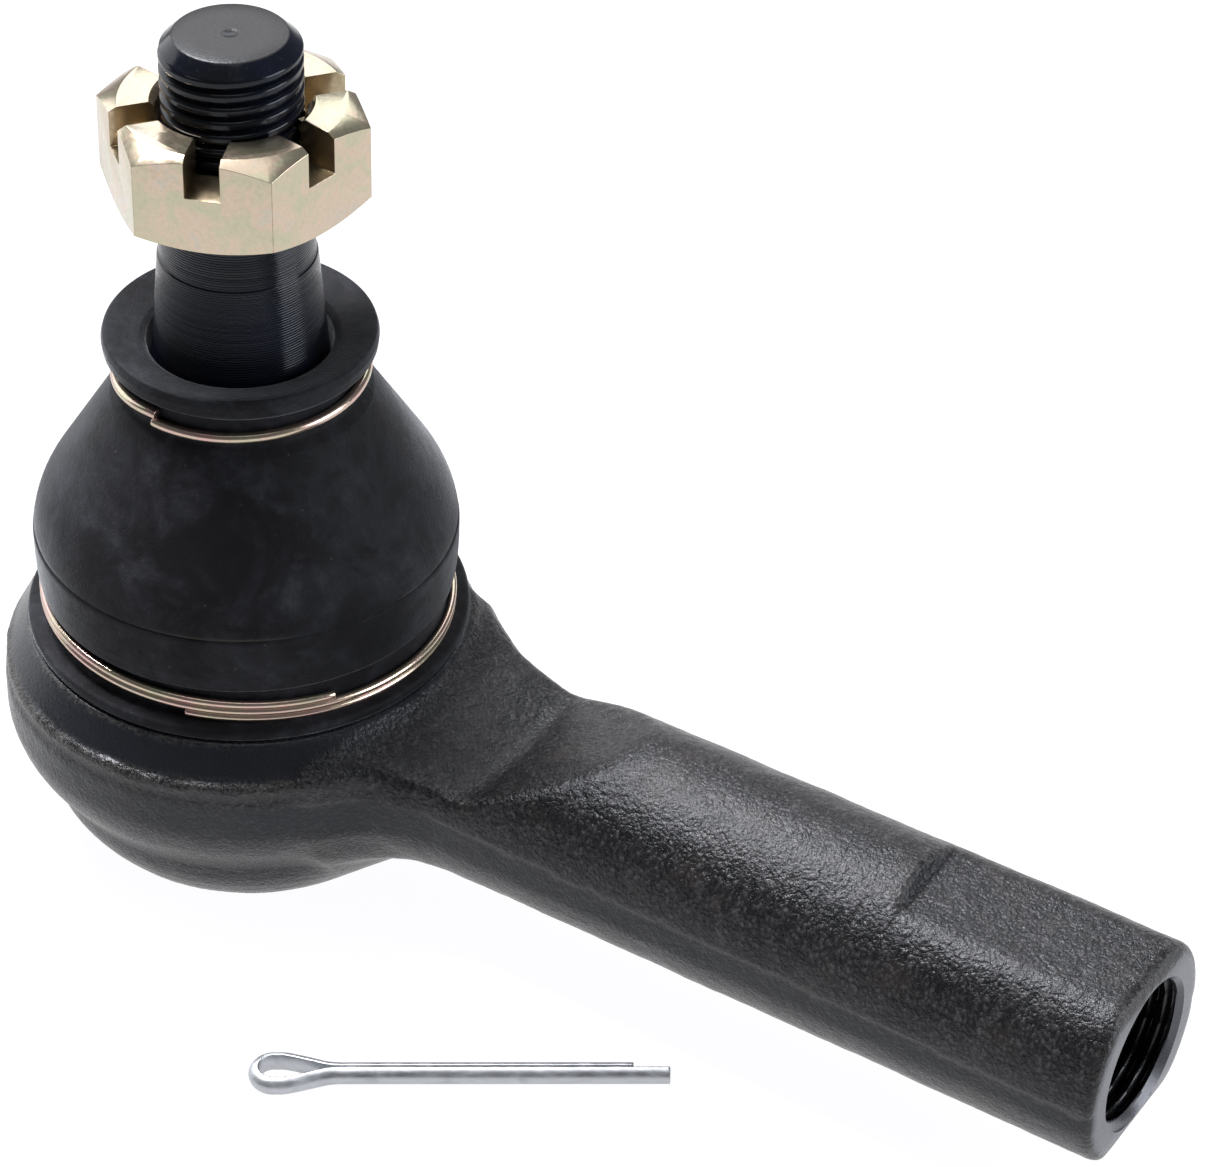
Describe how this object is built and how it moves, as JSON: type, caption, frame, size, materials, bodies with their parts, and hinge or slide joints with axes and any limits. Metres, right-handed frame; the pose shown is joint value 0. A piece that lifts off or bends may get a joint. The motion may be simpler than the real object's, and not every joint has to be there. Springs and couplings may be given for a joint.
{
  "type": "outer tie rod end",
  "caption": "Steering ball joint: forged head with an internally threaded shank, tapered ball stud, rubber boot with wire rings, castle nut and loose cotter pin.",
  "frame": {"origin": "centre of the ball, which is the joint's pivot point", "axes": "+X along the shank towards its threaded open end, +Z along the ball stud towards its nut, +Y to the left of the shank"},
  "size_m": [0.1302, 0.064, 0.0918],
  "materials": {
    "forged_steel": "black shot-blasted forging, semi-matt",
    "liner_plastic": "natural acetal",
    "plate_steel": "bright",
    "spring_steel": "oiled",
    "cap_steel": "black",
    "stud_steel": "black oxide, turned, glossy",
    "boot_rubber": "matt black",
    "ring_wire": "yellow zinc",
    "nut_zinc": "yellow zinc",
    "pin_steel": "bright zinc"
  },
  "bodies": {
    "housing": {"housing": "forged_steel", "bearing_upper": "liner_plastic", "bearing_lower": "liner_plastic", "pressure_plate": "plate_steel", "disc_spring": "spring_steel", "end_cap": "cap_steel", "boot_lower_ring": "ring_wire"},
    "boot": {"dust_boot": "boot_rubber"},
    "boot_top": {"boot_upper_ring": "ring_wire"},
    "stud": {"ball_stud": "stud_steel"},
    "nut": {"castle_nut": "nut_zinc"},
    "cotter": {"cotter_pin": "pin_steel"}
  },
  "joints": [
    {"name": "swing_along", "type": "hinge", "parent": "housing", "child": "boot", "pos_m": [0, 0, 0], "axis": [0, 1, 0], "range_deg": [-18, 18], "deforming": ["dust_boot"]},
    {"name": "swing_across", "type": "hinge", "parent": "boot", "child": "boot_top", "pos_m": [0, 0, 0], "axis": [1, 0, 0], "range_deg": [-18, 18], "deforming": ["dust_boot"]},
    {"name": "stud_spin", "type": "hinge", "parent": "boot_top", "child": "stud", "pos_m": [0, 0, 0], "axis": [0, 0, 1], "continuous": true},
    {"name": "nut_turn", "type": "hinge", "parent": "stud", "child": "nut", "pos_m": [0, 0, 0.0633], "axis": [0, 0, 1], "continuous": true},
    {"name": "cotter_lift", "type": "slide", "parent": "housing", "child": "cotter", "axis": [0, 0, 1], "range_m": [0, 0.03]}
  ]
}
